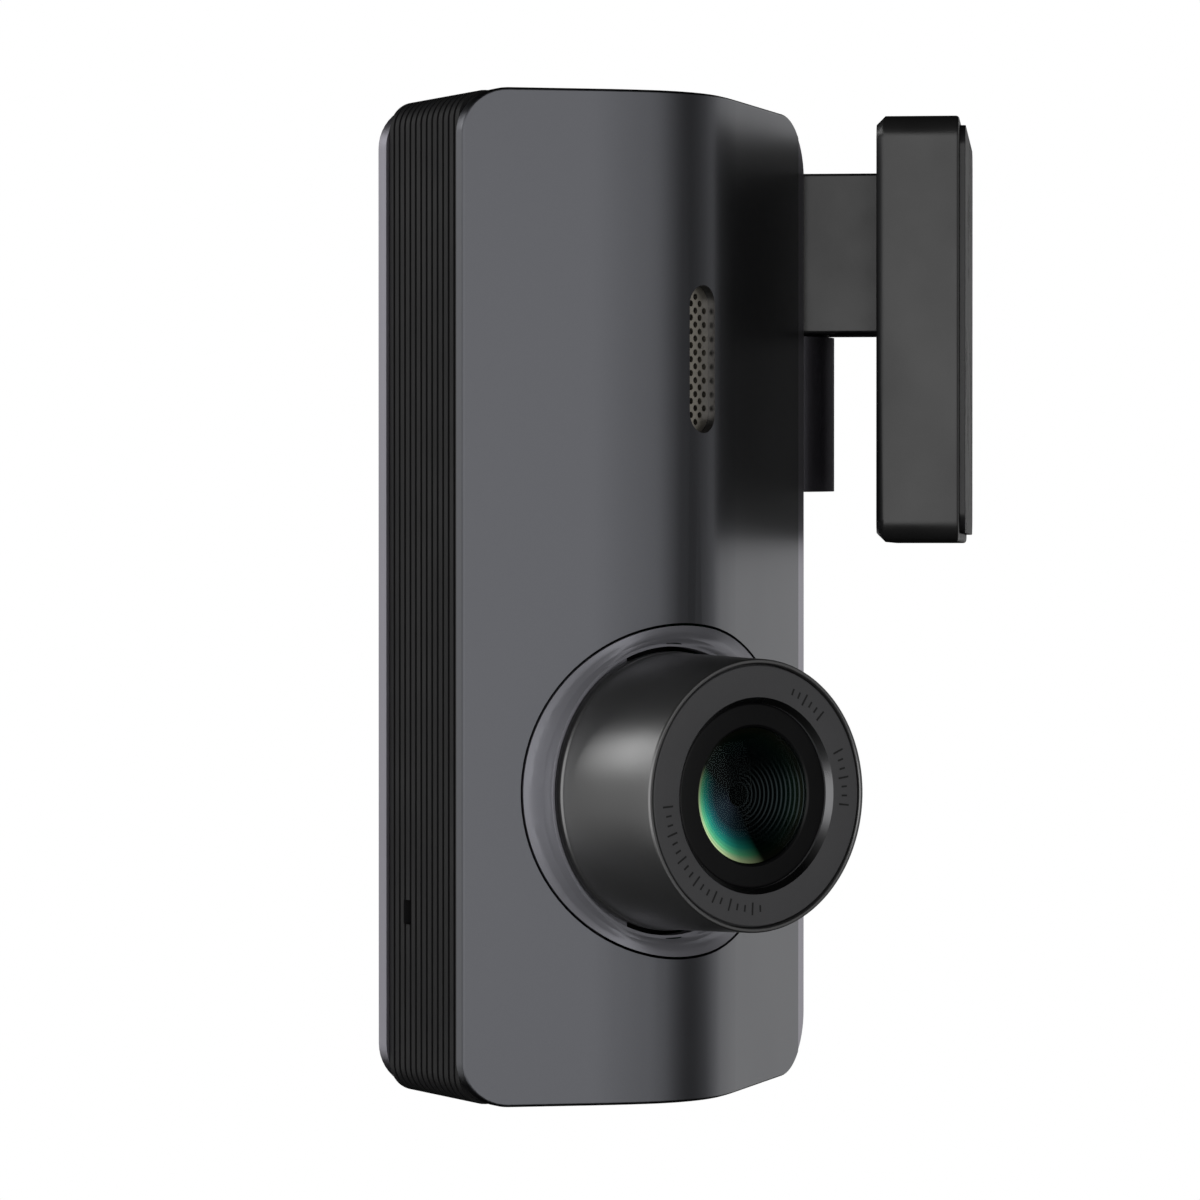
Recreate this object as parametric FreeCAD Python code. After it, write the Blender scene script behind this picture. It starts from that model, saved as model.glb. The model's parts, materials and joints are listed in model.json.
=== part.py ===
import FreeCAD, Part
import math
import os

# A dash camera on a windscreen bracket. Millimetres. Global frame: the origin is the centre of the
# adhesive face, +X is that face's outward normal (into the windscreen), +Z runs along the camera's
# long side, and the lens looks roughly along -Y.
# The camera head is drawn in its own frame: x runs along the rear cover, y towards the back, and z
# from the middle of the long side. place_head() then turns it about the hinge to its rest angle.

V = FreeCAD.Vector
X_AXIS = V(1, 0, 0)
Y_AXIS = V(0, 1, 0)
Z_AXIS = V(0, 0, 1)

# Head: overall size and outline
HEAD_WIDTH = 46.3
HEAD_LENGTH = 94.0
HEAD_DEPTH = 18.8
LEFT_CORNER = 4.2
RIGHT_CORNER = 5.5
FLAT_TILT = 16.54
FLAT_LENGTH = 12.2
BENDS = [(38.0, 8.0), (11.5, 48.0), (45.0, 5.5)]
FLANK_RUN = 42.0
PLATE = 1.3
PLATE_EDGE = 0.3
REAR_THICK = 2.25
REAR_WALL = 1.5
REAR_END_INSET = 0.3
REAR_SPLIT = HEAD_DEPTH - REAR_THICK
HALF = HEAD_LENGTH / 2

# Ribbed band between the two covers
BAND_INSET = 0.3
BAND_END_INSET = 0.12
BAND_SHARPER = 1.2
RIB_PITCH = 1.18
RIB_WIDTH = 0.78
RIB_DEPTH = 0.28
RIB_COUNT = 13
BAND_WALL = 1.7
BAND_RIGHT = 40.5
MIC_HOLE = (12.6, 1.5, -29.7, 2.3)

# Hinge and rest angle
REST_TURN = 32.64
HINGE_IN_HEAD = V(48.0, 25.07, 25.85)
HINGE_AT = V(-18.6, 0, 0)
KNUCKLE_R = 5.1
KNUCKLE_TOP = 16.0
LUG_BOTTOM = -15.5
KNUCKLE_GAP = 0.15
HINGE_SCREW_R = 1.5
RUNNING = 0.05
FIT_GAP = 0.05

# Bracket
SLAB_LEFT = -8.6
SLAB_RIGHT = -0.6
SLAB_HEIGHT = 41.3
SLAB_DEPTH = 38.0
SLAB_CORNER = 2.2
SLAB_WALL = 1.8
PAD_HEIGHT = 39.6
PAD_DEPTH = 36.2
SLAB_CHAMFER = 0.85
POCKET_CORNER = 1.2
BRACKET_PLATE = 1.4
PLATE_SEAT_R = 2.0
PLATE_SEAT_AT = SLAB_RIGHT - 0.9
POST_Y = 13.0
POST_Z = 14.5

# Lens, measured along its axis from the front of its ring
LENS_TILT = 9.5
LENS_FRONT = V(22.05, -16.05, -18.05)
RING_R = 12.5
RING_THICK = 1.7
RING_BEVEL = 0.5
LIP_PROUD = 0.1
BARREL_BASE_R = 12.9
BARREL_BEAD_R = 13.0
BARREL_BACK = 13.9
BARREL_BORE = 11.4
RING_INSERT_R = 12.05
RECESS_R = 8.5
GLASS_R = 6.25
GLASS_EDGE = 0.55
GLASS_SAG = 1.0
RETAINER_BACK = 2.4
HOUSING_R = 8.4
HOUSING_SHOULDER = 9.4
TAIL_R = 6.0
TAIL_BACK = 18.3
STOP_R = 2.2
STOP_FRONT = 11.0
STOP_BACK = 12.2
REAR_SEAT_R = 3.4
FUNNEL_STEPS = [(4.4, 8.6), (5.0, 6.2), (5.6, 4.2)]
HOLDER_FRONT = 17.5
HOLDER_BORE = 6.05
EAR_THICK = 1.8
EAR_REACH = 20.2
SENSOR_BOARD = 20.1
SENSOR_WIDTH = 20.0
SENSOR_HEIGHT = 18.0
SENSOR_HOLES = [(-8.0, -7.0), (8.0, 7.0)]
SKIRT_CENTRE_U = 21.05
SKIRT_R = 15.4
SKIRT_GROOVE = 0.25
COLLAR_AT = 12.9
COLLAR_R = 13.75
COLLAR_BORE = 13.45
EAR_W = 17.8

# Speaker slot on the bend
SLOT_TURN = 40.0
SLOT_WIDTH = 3.8
SLOT_LENGTH = 13.8
SLOT_Z = 22.2
GRILLE_DEPTH = 1.0
GRILLE_THICK = 0.5
GRILLE_LEDGE = 1.4
GRILLE_HOLE_R = 0.3
GRILLE_PITCH = 1.3
GRILLE_COLUMNS = 5

# Boards and fixings
BOARD_FRONT = 12.4
BOARD_THICK = 1.2
BOARD_BACK = BOARD_FRONT + BOARD_THICK
CASE_BOSSES = [(5.5, 40.0), (5.5, -40.0), (35.5, 40.0), (35.5, -40.0)]
BOARD_POSTS = [(6.0, 4.0), (32.0, 4.0)]
CASE_SCREW_SEAT = HEAD_DEPTH - 1.3
CASE_SCREW_TIP = 11.0
BOSS_R = 2.4
POST_R = 2.2
SCREW_R = 0.95
SMALL_SCREW_R = 0.85
SENSOR_SCREW_R = 0.65
CLEARANCE_R = 1.1
THREAD_GAP = 0.05

# Button, light and sockets
BUTTON_AT = (22.0, 15.0)
BUTTON_R = 3.5
BUTTON_GAP = 0.3
LIGHT_AT = (22.0, 25.0)
LIGHT_R = 1.2
USB_X = 16.5
USB_Y = 10.75
USB_WIDTH = 9.0
USB_HEIGHT = 3.3
CARD_X = 17.3
CARD_Y = 11.475
CARD_WIDTH = 11.0
CARD_LENGTH = 15.0
CARD_THICK = 0.75
CARD_END = -46.4

parts = {}


# Helpers

def box(x0, x1, y0, y1, z0, z1):
    return Part.makeBox(x1 - x0, y1 - y0, z1 - z0, V(x0, y0, z0))


def rod(radius, start, direction, length):
    return Part.makeCylinder(radius, length, start, direction)


def tube(outer, inner, start, direction, length):
    return rod(outer, start, direction, length).cut(rod(inner, start, direction, length))


def fuse(first, *others):
    shape = first
    for other in others:
        shape = shape.fuse(other)
    return shape.removeSplitter()


def cut(shape, *tools):
    for tool in tools:
        shape = shape.cut(tool)
    return shape


def turned(angle, centre=V(0, 0, 0), axis=Z_AXIS):
    return FreeCAD.Placement(V(0, 0, 0), FreeCAD.Rotation(axis, angle), centre)


def moved(shape, placement):
    copy = shape.copy()
    copy.Placement = placement.multiply(copy.Placement)
    return copy


def rounded_prism(width, height, radii, depth):
    """A rounded rectangle in XY from the origin, corners in the order of its four points, drawn up Z."""
    corners = [V(0, 0, 0), V(width, 0, 0), V(width, height, 0), V(0, height, 0)]
    edges = []
    ends = []
    for i, corner in enumerate(corners):
        back = (corners[i - 1] - corner).normalize()
        ahead = (corners[(i + 1) % 4] - corner).normalize()
        r = radii[i]
        middle = corner + (back + ahead) * (r * (1 - math.sqrt(0.5)))
        edges.append(Part.Arc(corner + back * r, middle, corner + ahead * r).toShape())
        ends.append((corner + back * r, corner + ahead * r))
    for i in range(4):
        edges.append(Part.makeLine(ends[i][1], ends[(i + 1) % 4][0]))
    wire = Part.Wire(Part.__sortEdges__(edges))
    return Part.Face(wire).extrude(V(0, 0, depth))


def filleted(shape, radius, wanted):
    edges = [e for e in shape.Edges if wanted(e)]
    return shape.makeFillet(radius, edges)


# Surfaces of the head

def front_region(inset):
    """Everything behind the front surface, moved inwards by inset: flat, bend and flank."""
    reach = 55.0
    start = V(-reach / 3, inset, 0)
    here = V(FLAT_LENGTH, inset, 0)
    edges = [Part.makeLine(start, here)]
    heading = 0.0
    for radius, turn in BENDS:
        r = radius - inset
        inward = [V(-math.sin(math.radians(heading + part * turn)),
                    math.cos(math.radians(heading + part * turn)), 0) for part in (0, 0.5, 1)]
        centre = here + inward[0] * r
        edges.append(Part.Arc(here, centre - inward[1] * r, centre - inward[2] * r).toShape())
        here = centre - inward[2] * r
        heading += turn
    end = here + V(math.cos(math.radians(heading)), math.sin(math.radians(heading)), 0) * FLANK_RUN
    back = V(start.x, reach, 0)
    edges.append(Part.makeLine(here, end))
    edges.append(Part.makeLine(end, V(end.x, reach, 0)))
    edges.append(Part.makeLine(V(end.x, reach, 0), back))
    edges.append(Part.makeLine(back, start))
    region = Part.Face(Part.Wire(edges)).extrude(V(0, 0, HEAD_LENGTH + 10))
    region.translate(V(0, 0, -HALF - 5))
    return moved(region, turned(-FLAT_TILT))


def front_point(u):
    """Distance behind the flat's plane of the outer surface at u along the flat."""
    here_u = FLAT_LENGTH
    here_v = 0.0
    heading = 0.0
    if u <= here_u:
        return 0.0
    for radius, turn in BENDS:
        a = math.radians(heading)
        b = math.radians(heading + turn)
        end_u = here_u + radius * (math.sin(b) - math.sin(a))
        if u <= end_u:
            angle = math.asin(math.sin(a) + (u - here_u) / radius)
            return here_v + radius * (math.cos(a) - math.cos(angle))
        here_v += radius * (math.cos(a) - math.cos(b))
        here_u = end_u
        heading += turn
    return here_v + (u - here_u) * math.tan(math.radians(heading))


def outline(inset, y0, y1, ends=None, sharper=0.0):
    """The head's rounded outline, as a prism from y0 to y1. ends is the inset at the two ends."""
    ends = inset if ends is None else ends
    radii = [LEFT_CORNER, RIGHT_CORNER, RIGHT_CORNER, LEFT_CORNER]
    prism = rounded_prism(HEAD_WIDTH - 2 * inset, HEAD_LENGTH - 2 * ends,
                          [r - inset - sharper for r in radii], y1 - y0)
    prism.translate(V(inset, -HALF + ends, -y1))
    return moved(prism, turned(90, axis=X_AXIS))


def flat_frame():
    """x along the flat front surface, z into the head at right angles to it."""
    tilt = math.radians(FLAT_TILT)
    along = V(math.cos(tilt), -math.sin(tilt), 0)
    inward = V(math.sin(tilt), math.cos(tilt), 0)
    return FreeCAD.Placement(V(0, 0, 0), FreeCAD.Rotation(along, V(0, 0, -1), inward, "ZXY"))


def lens_frame():
    """z runs back along the lens axis from the front of the ring."""
    tilt = math.radians(LENS_TILT)
    across = V(math.cos(tilt), math.sin(tilt), 0)
    back = V(-math.sin(tilt), math.cos(tilt), 0)
    return FreeCAD.Placement(LENS_FRONT, FreeCAD.Rotation(across, V(0, 0, -1), back, "ZXY"))


def slot_frame():
    """z runs into the head from the middle of the speaker slot."""
    angle = math.radians(SLOT_TURN)
    first, second = BENDS[0], BENDS[1]
    a = math.radians(first[1])
    u = FLAT_LENGTH + first[0] * math.sin(a) + second[0] * (math.sin(angle) - math.sin(a))
    inward = V(-math.sin(angle), 0, math.cos(angle))
    along = V(math.cos(angle), 0, math.sin(angle))
    local = FreeCAD.Placement(V(u, -SLOT_Z, front_point(u)),
                              FreeCAD.Rotation(along, V(0, 1, 0), inward, "ZXY"))
    return flat_frame().multiply(local)


def revolved(points):
    """A solid of revolution about z from (radius, z) points joined by straight lines."""
    corners = [V(r, 0, z) for r, z in points]
    face = Part.Face(Part.makePolygon(corners + [corners[0]]))
    return face.revolve(V(0, 0, 0), Z_AXIS, 360)


def lens_rod(radius, s0, s1, across=0.0, up=0.0):
    return rod(radius, V(across, up, s0), Z_AXIS, s1 - s0)


# Covers and band

def skirt_section(share):
    """A closed ring on the skirt: share 0 is its foot on the cover, share 1 the collar's rim."""
    count = 36
    frame = flat_frame().inverse().multiply(lens_frame())
    points = []
    for i in range(count):
        turn = 2 * math.pi * i / count
        u = SKIRT_CENTRE_U + SKIRT_R * math.cos(turn)
        foot = V(u, -LENS_FRONT.z + SKIRT_R * math.sin(turn), front_point(u))
        rim = frame.multVec(V(COLLAR_R * math.cos(turn), COLLAR_R * math.sin(turn), COLLAR_AT))
        points.append(V(foot.x + (rim.x - foot.x) * share, foot.y + (rim.y - foot.y) * share,
                        foot.z + (rim.z - foot.z) * share ** 1.6))
    return points


def closed_curve(points):
    curve = Part.BSplineCurve()
    curve.interpolate(Points=points, PeriodicFlag=True)
    return Part.Wire([curve.toShape()])


def lens_skirt():
    foot = skirt_section(0.0)
    deep = [V(p.x, p.y, 34.0) for p in foot]
    rings = [deep, foot] + [skirt_section(share) for share in (0.35, 0.7, 1.0)]
    body = Part.makeLoft([closed_curve(ring) for ring in rings], True, True)
    skirt = moved(body, flat_frame())
    bore = lens_rod(COLLAR_BORE, 0, BARREL_BACK)
    window = lens_rod(9.0, 0, 40)
    hollow = lens_rod(11.8, BARREL_BACK + 1.4, 40)
    for tool in (bore, window, hollow):
        skirt = skirt.cut(moved(tool, lens_frame()))
    skirt = skirt.cut(front_region(PLATE))
    return max(skirt.Solids, key=lambda s: s.Volume)


def boss(at, radius, top):
    column = rod(radius, V(at[0], -10, at[1]), Y_AXIS, top + 10)
    return column.common(front_region(PLATE / 2))


def front_cover():
    plate = front_region(0).cut(front_region(PLATE)).common(outline(0, -30, REAR_SPLIT))
    skin = front_region(0.001)
    core = outline(0.01, -40, 30)

    def on_outer_rim(edge):
        middle = edge.valueAt((edge.FirstParameter + edge.LastParameter) / 2)
        return not skin.isInside(middle, 1e-6, True) and not core.isInside(middle, 1e-6, True)

    shape = filleted(plate.Solids[0], PLATE_EDGE, on_outer_rim)
    for at in CASE_BOSSES:
        shape = shape.fuse(boss(at, BOSS_R, REAR_SPLIT - 0.1))
    for at in BOARD_POSTS:
        shape = shape.fuse(boss(at, POST_R, BOARD_FRONT))
    for up in (-EAR_W, EAR_W):
        post = moved(lens_rod(POST_R, 6, HOLDER_FRONT, 0, up), lens_frame())
        shape = shape.fuse(post.common(front_region(PLATE / 2)))
    shape = shape.removeSplitter()
    hole = rod(SKIRT_R + SKIRT_GROOVE, V(SKIRT_CENTRE_U, -LENS_FRONT.z, -12), Z_AXIS, 50)
    shape = shape.cut(moved(hole, flat_frame()).common(outline(-5, -40, 30)))
    slot = slot_tool(SLOT_WIDTH, SLOT_LENGTH, -3, 4)
    pocket = slot_tool(SLOT_WIDTH + GRILLE_LEDGE, SLOT_LENGTH + GRILLE_LEDGE, GRILLE_DEPTH, 4)
    shape = shape.cut(slot).cut(pocket)
    for x, z in CASE_BOSSES:
        shape = shape.cut(rod(SCREW_R + THREAD_GAP, V(x, CASE_SCREW_TIP - 0.4, z), Y_AXIS, 10))
    for x, z in BOARD_POSTS:
        shape = shape.cut(rod(SMALL_SCREW_R + THREAD_GAP, V(x, 8.4, z), Y_AXIS, 6))
    for up in (-EAR_W, EAR_W):
        shape = shape.cut(moved(lens_rod(SMALL_SCREW_R + THREAD_GAP, 13.2, 20, 0, up), lens_frame()))
    return max(shape.Solids, key=lambda s: s.Volume)


def slot_tool(width, length, s0, s1):
    radius = min(width, length) / 2 - 0.001
    prism = rounded_prism(width, length, [radius] * 4, s1 - s0)
    prism.translate(V(-width / 2, -length / 2, s0))
    return moved(prism, slot_frame())


def speaker_grille():
    margin = GRILLE_LEDGE - 2 * FIT_GAP
    plate = slot_tool(SLOT_WIDTH + margin, SLOT_LENGTH + margin, GRILLE_DEPTH, GRILLE_DEPTH + GRILLE_THICK)
    rows = int(SLOT_LENGTH / GRILLE_PITCH)
    middle = GRILLE_COLUMNS // 2
    for column in range(-middle, middle + 1):
        stagger = 0.5 * (column % 2)
        for row in range(rows):
            y = (row - (rows - 1) / 2 + stagger) * GRILLE_PITCH
            if abs(y) < SLOT_LENGTH / 2 - 0.7 - 0.3 * abs(column):
                hole = rod(GRILLE_HOLE_R, V(column * GRILLE_PITCH / 2, y, 0), Z_AXIS, 3)
                plate = plate.cut(moved(hole, slot_frame()))
    return plate


def mid_frame():
    """The ribbed band: a wall with rounded ribs that run round it, level with the rear cover."""
    core = outline(BAND_INSET + RIB_DEPTH, -20, REAR_SPLIT, BAND_END_INSET + RIB_DEPTH, BAND_SHARPER)
    first = REAR_SPLIT - RIB_COUNT * RIB_PITCH + (RIB_PITCH - RIB_WIDTH) / 2
    for i in range(RIB_COUNT):
        low = first + i * RIB_PITCH
        core = core.fuse(outline(BAND_INSET, low, low + RIB_WIDTH, BAND_END_INSET, BAND_SHARPER))
    core = core.common(front_region(PLATE))
    inner = rounded_prism(BAND_RIGHT - BAND_WALL - BAND_INSET, HEAD_LENGTH - 2 * (BAND_WALL + BAND_INSET),
                          [2.4, 3.5, 3.5, 2.4], 60)
    inner.translate(V(BAND_WALL + BAND_INSET, -HALF + BAND_WALL + BAND_INSET, -30))
    frame = core.cut(moved(inner, turned(90, axis=X_AXIS)))
    y, width, z, height = MIC_HOLE
    frame = frame.cut(box(-1, 3, y - width / 2, y + width / 2, z - height / 2, z + height / 2))
    frame = frame.cut(end_slot(USB_X, USB_Y, USB_WIDTH + 0.6, USB_HEIGHT + 0.6, 44, 50))
    frame = frame.cut(box(CARD_X - CARD_WIDTH / 2 - 0.3, CARD_X + CARD_WIDTH / 2 + 0.3,
                          CARD_Y - CARD_THICK / 2 - 0.3, CARD_Y + CARD_THICK / 2 + 0.3, -50, -44))
    return max(frame.Solids, key=lambda s: s.Volume)


def end_slot(x, y, width, height, z0, z1):
    """A slot with round ends, drawn along z."""
    prism = rounded_prism(width, height, [height / 2 - 0.001] * 4, z1 - z0)
    prism.translate(V(x - width / 2, y - height / 2, z0))
    return prism


def hinge_lug():
    centre = HINGE_IN_HEAD
    low = centre.z + LUG_BOTTOM
    high = centre.z - KNUCKLE_GAP
    barrel = rod(KNUCKLE_R, V(centre.x, centre.y, low), Z_AXIS, high - low)
    reach = KNUCKLE_R * math.sqrt(0.5)
    edge = HEAD_WIDTH - 0.9
    web = [V(36.5, REAR_SPLIT + 1, low), V(centre.x - reach, centre.y + reach, low),
           V(centre.x, centre.y, low), V(edge, centre.y - KNUCKLE_R + 0.8, low),
           V(edge, REAR_SPLIT + 1, low)]
    block = Part.Face(Part.makePolygon(web + [web[0]])).extrude(V(0, 0, high - low))
    return barrel.fuse(block).removeSplitter()


def rear_cover():
    plate = outline(0, REAR_SPLIT, HEAD_DEPTH, REAR_END_INSET).common(front_region(0))
    plate = filleted(plate, 0.7, lambda e: e.BoundBox.YMin > HEAD_DEPTH - 0.01)
    pocket = rounded_prism(37.5, HEAD_LENGTH - 6, [2.0] * 4, REAR_THICK - REAR_WALL)
    pocket.translate(V(3, -HALF + 3, -HEAD_DEPTH + REAR_WALL))
    plate = plate.cut(moved(pocket, turned(90, axis=X_AXIS)))
    plate = plate.fuse(hinge_lug()).removeSplitter()
    for x, z in CASE_BOSSES:
        seat = rod(BOSS_R, V(x, REAR_SPLIT, z), Y_AXIS, REAR_THICK - REAR_WALL)
        plate = plate.fuse(seat)
    plate = plate.removeSplitter()
    for x, z in CASE_BOSSES:
        plate = plate.cut(rod(SCREW_R + 0.2, V(x, REAR_SPLIT - 1, z), Y_AXIS, 5))
        plate = plate.cut(rod(2.1, V(x, CASE_SCREW_SEAT, z), Y_AXIS, 5))
    x, z = BUTTON_AT
    plate = plate.cut(rod(BUTTON_R + BUTTON_GAP, V(x, REAR_SPLIT - 1, z), Y_AXIS, 5))
    x, z = LIGHT_AT
    plate = plate.cut(rod(LIGHT_R + 0.05, V(x, REAR_SPLIT - 1, z), Y_AXIS, 5))
    axis = HINGE_IN_HEAD
    plate = plate.cut(rod(HINGE_SCREW_R + 0.03, V(axis.x, axis.y, axis.z + LUG_BOTTOM - 1), Z_AXIS, 20))
    hexagon = nut_prism(5.2, axis.z + LUG_BOTTOM - 1, 5 + 1)
    cap = rod(3.3, V(axis.x, axis.y, axis.z + LUG_BOTTOM - 1), Z_AXIS, 2.2)
    return plate.cut(hexagon).cut(cap)


def nut_prism(flats, z0, height):
    radius = flats / math.sqrt(3)
    points = [V(HINGE_IN_HEAD.x + radius * math.cos(math.radians(60 * i)),
                HINGE_IN_HEAD.y + radius * math.sin(math.radians(60 * i)), z0) for i in range(6)]
    return Part.Face(Part.makePolygon(points + [points[0]])).extrude(V(0, 0, height))


# Lens

def lens_barrel():
    """A slightly flared barrel: a lip round the ring in front, and a bead at its base."""
    bead = BARREL_BACK - 0.6
    points = [(RING_INSERT_R + 0.1, -LIP_PROUD), (RING_R - 0.1, -LIP_PROUD), (RING_R, 0),
              (RING_R + 0.1, 3.0), (BARREL_BASE_R, bead - 0.8), (BARREL_BEAD_R, bead - 0.7),
              (BARREL_BEAD_R, bead - 0.1), (BARREL_BASE_R, bead), (BARREL_BASE_R, BARREL_BACK),
              (BARREL_BORE, BARREL_BACK), (BARREL_BORE, RING_THICK), (RING_INSERT_R, RING_THICK),
              (RING_INSERT_R, 0)]
    return revolved(points)


def lens_ring():
    outer = RING_INSERT_R - 0.05
    points = [(RECESS_R, RING_BEVEL), (RECESS_R + RING_BEVEL, 0), (outer - 0.15, 0), (outer, 0.15),
              (outer, RING_THICK), (RECESS_R, RING_THICK)]
    return revolved(points)


def lens_retainer():
    outer = RECESS_R - 0.02
    inner = GLASS_R + 0.05
    points = [(inner, GLASS_EDGE), (outer, GLASS_EDGE + 0.05), (outer, RETAINER_BACK),
              (inner, RETAINER_BACK)]
    return revolved(points)


def dome(radius, sag, apex):
    """A sphere that bulges by sag over a disc of this radius, its near pole at apex."""
    ball = (radius ** 2 + sag ** 2) / (2 * sag)
    return Part.makeSphere(ball, V(0, 0, apex + ball))


def lens_element(radius, edge, front_sag, back, back_sag):
    """A glass element: a convex front, a rim from edge to back, and a hollow rear face."""
    blank = lens_rod(radius, edge - front_sag - 0.1, back)
    blank = blank.common(dome(radius, front_sag, edge - front_sag))
    return blank.cut(dome(radius * 0.85, back_sag, back - back_sag))


def lens_housing():
    """Black inner barrel: a wide front, a stepped funnel inside, and a threaded tail."""
    outside = [(HOUSING_R, RETAINER_BACK), (HOUSING_R, HOUSING_SHOULDER), (TAIL_R, HOUSING_SHOULDER),
               (TAIL_R, TAIL_BACK)]
    rear_seat = [(REAR_SEAT_R, TAIL_BACK), (REAR_SEAT_R, STOP_BACK + 0.4)]
    stop = [(STOP_R, STOP_BACK), (STOP_R, STOP_FRONT)]
    funnel = [(3.1, STOP_FRONT)]
    for radius, depth in FUNNEL_STEPS:
        funnel += [(funnel[-1][0], depth), (radius, depth - 0.4)]
    return revolved(outside + rear_seat + stop + funnel + [(funnel[-1][0], RETAINER_BACK)])


def lens_holder():
    """A threaded sleeve on a flange, with an ear above and below for its two screws."""
    bore_end = TAIL_BACK + 0.1
    past = SENSOR_BOARD + 1
    body = lens_rod(HOUSING_R, HOUSING_SHOULDER + 0.2, HOLDER_FRONT)
    flange = sensor_plate(HOLDER_FRONT, SENSOR_BOARD)
    ears = box(-3, 3, -EAR_REACH, EAR_REACH, HOLDER_FRONT, HOLDER_FRONT + EAR_THICK)
    shape = fuse(body, flange, ears)
    shape = cut(shape, lens_rod(HOLDER_BORE, HOUSING_SHOULDER, bore_end), box(-6, 6, -6, 6, bore_end, past))
    for up in (-EAR_W, EAR_W):
        shape = shape.cut(lens_rod(CLEARANCE_R, 15, past, 0, up))
    for across, up in SENSOR_HOLES:
        shape = shape.cut(lens_rod(SENSOR_SCREW_R + THREAD_GAP, HOLDER_FRONT + 0.4, past, across, up))
    return shape


def sensor_plate(front, back):
    return box(-SENSOR_WIDTH / 2, SENSOR_WIDTH / 2, -SENSOR_HEIGHT / 2, SENSOR_HEIGHT / 2, front, back)


def screw(head_r, head_h, shank_r, shank_l):
    """A screw along z: the head below z = 0, the shank above it, and a cross recess in the head."""
    body = fuse(rod(head_r, V(0, 0, -head_h), Z_AXIS, head_h), rod(shank_r, V(0, 0, 0), Z_AXIS, shank_l))
    arm = head_r * 0.6
    half = head_r * 0.14
    depth = head_h * 0.55
    return cut(body, box(-arm, arm, -half, half, -head_h, -head_h + depth),
               box(-half, half, -arm, arm, -head_h, -head_h + depth))


def put(shape, at, towards):
    """Stands a shape drawn along z at a point, pointing towards a direction."""
    return moved(shape, FreeCAD.Placement(at, FreeCAD.Rotation(Z_AXIS, towards)))


def head_optics():
    frame = lens_frame()
    board_back = SENSOR_BOARD + 1.0
    pieces = {
        "lens_barrel": lens_barrel(),
        "lens_ring": lens_ring(),
        "lens_retainer": lens_retainer(),
        "front_element": lens_element(GLASS_R, GLASS_EDGE, GLASS_SAG, 2.35, 0.9),
        "lens_housing": lens_housing(),
        "second_element": lens_element(4.95, 4.9, 0.9, 5.75, 0.3),
        "third_element": lens_element(3.05, 9.4, 0.8, 10.9, 0.2),
        "rear_element": lens_element(3.35, 13.6, 0.7, 15.4, 0.3),
        "lens_holder": lens_holder(),
        "infrared_filter": box(-4, 4, -4, 4, TAIL_BACK + 0.15, TAIL_BACK + 0.45),
        "image_sensor": box(-4.2, 4.2, -3.6, 3.6, SENSOR_BOARD - 1.1, SENSOR_BOARD),
        "sensor_board": cut(sensor_plate(SENSOR_BOARD, board_back),
                            *[lens_rod(SENSOR_SCREW_R + THREAD_GAP, SENSOR_BOARD - 1, 22, across, up)
                              for across, up in SENSOR_HOLES]),
        "sensor_connector": box(-3, 3, -2, 2, board_back, board_back + 1.6),
    }
    pins = [put(screw(1.3, 0.7, SENSOR_SCREW_R, 3.0), V(across, up, board_back), V(0, 0, -1))
            for across, up in SENSOR_HOLES]
    pieces["sensor_screws"] = Part.makeCompound(pins)
    ears = [put(screw(1.8, 0.9, SMALL_SCREW_R, 5.5), V(0, up, HOLDER_FRONT + EAR_THICK), V(0, 0, -1))
            for up in (-EAR_W, EAR_W)]
    pieces["holder_screws"] = Part.makeCompound(ears)
    return {name: moved(shape, frame) for name, shape in pieces.items()}


# Electronics

def main_board():
    board = box(3, 37, BOARD_FRONT, BOARD_BACK, -43.3, 43.3)
    for x, z in CASE_BOSSES:
        board = board.cut(rod(BOSS_R + 0.5, V(x, 10, z), Y_AXIS, 5))
        xs = sorted((x, 2.9 if x < 20 else 37.1))
        zs = sorted((z, math.copysign(43.5, z)))
        board = board.cut(box(xs[0], xs[1], 10, 15, zs[0], zs[1]))
    for x, z in BOARD_POSTS:
        board = board.cut(rod(CLEARANCE_R, V(x, 10, z), Y_AXIS, 5))
    return board


def flex_cable():
    """A flat ribbon folded into a U between the sensor's connector and the board's."""
    near, far = 7.15, 11.05
    start, fold = -22.0, -9.0
    thick = 0.15
    centre = (near + far) / 2
    radius = (far - near) / 2
    bend = tube(radius + thick, radius, V(15.6, centre, fold), X_AXIS, 6)
    bend = bend.common(box(15, 22, 5, 13, fold, fold + 4))
    arms = [box(15.6, 21.6, near - thick, near, start, fold), box(15.6, 21.6, far, far + thick, start, fold)]
    return fuse(bend, *arms)


def is_rim(edge):
    """True for a full circle round the end of an upright cylinder."""
    return edge.BoundBox.ZLength < 0.1 and len(edge.Vertexes) == 1


def supercapacitors():
    cans = []
    for x in (8.6, 17.3):
        can = rod(4.0, V(x, 8.3, 13.5), Z_AXIS, 13.5)
        cans.append(filleted(can, 0.5, is_rim))
    return Part.makeCompound(cans)


def speaker():
    """Frame, magnet and rim of a small loudspeaker that fires through the slot."""
    rim = rounded_prism(11, 15, [2.0] * 4, 1.6)
    rim.translate(V(-5.5, -7.5, 3.0))
    can = rounded_prism(9, 12, [1.6] * 4, 2.2)
    can.translate(V(-4.5, -6, 4.6))
    dish = rounded_prism(7.4, 10.4, [3.0] * 4, 0.5)
    dish.translate(V(-3.7, -5.2, 3.0))
    return moved(fuse(rim, can).cut(dish), slot_frame())


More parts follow.
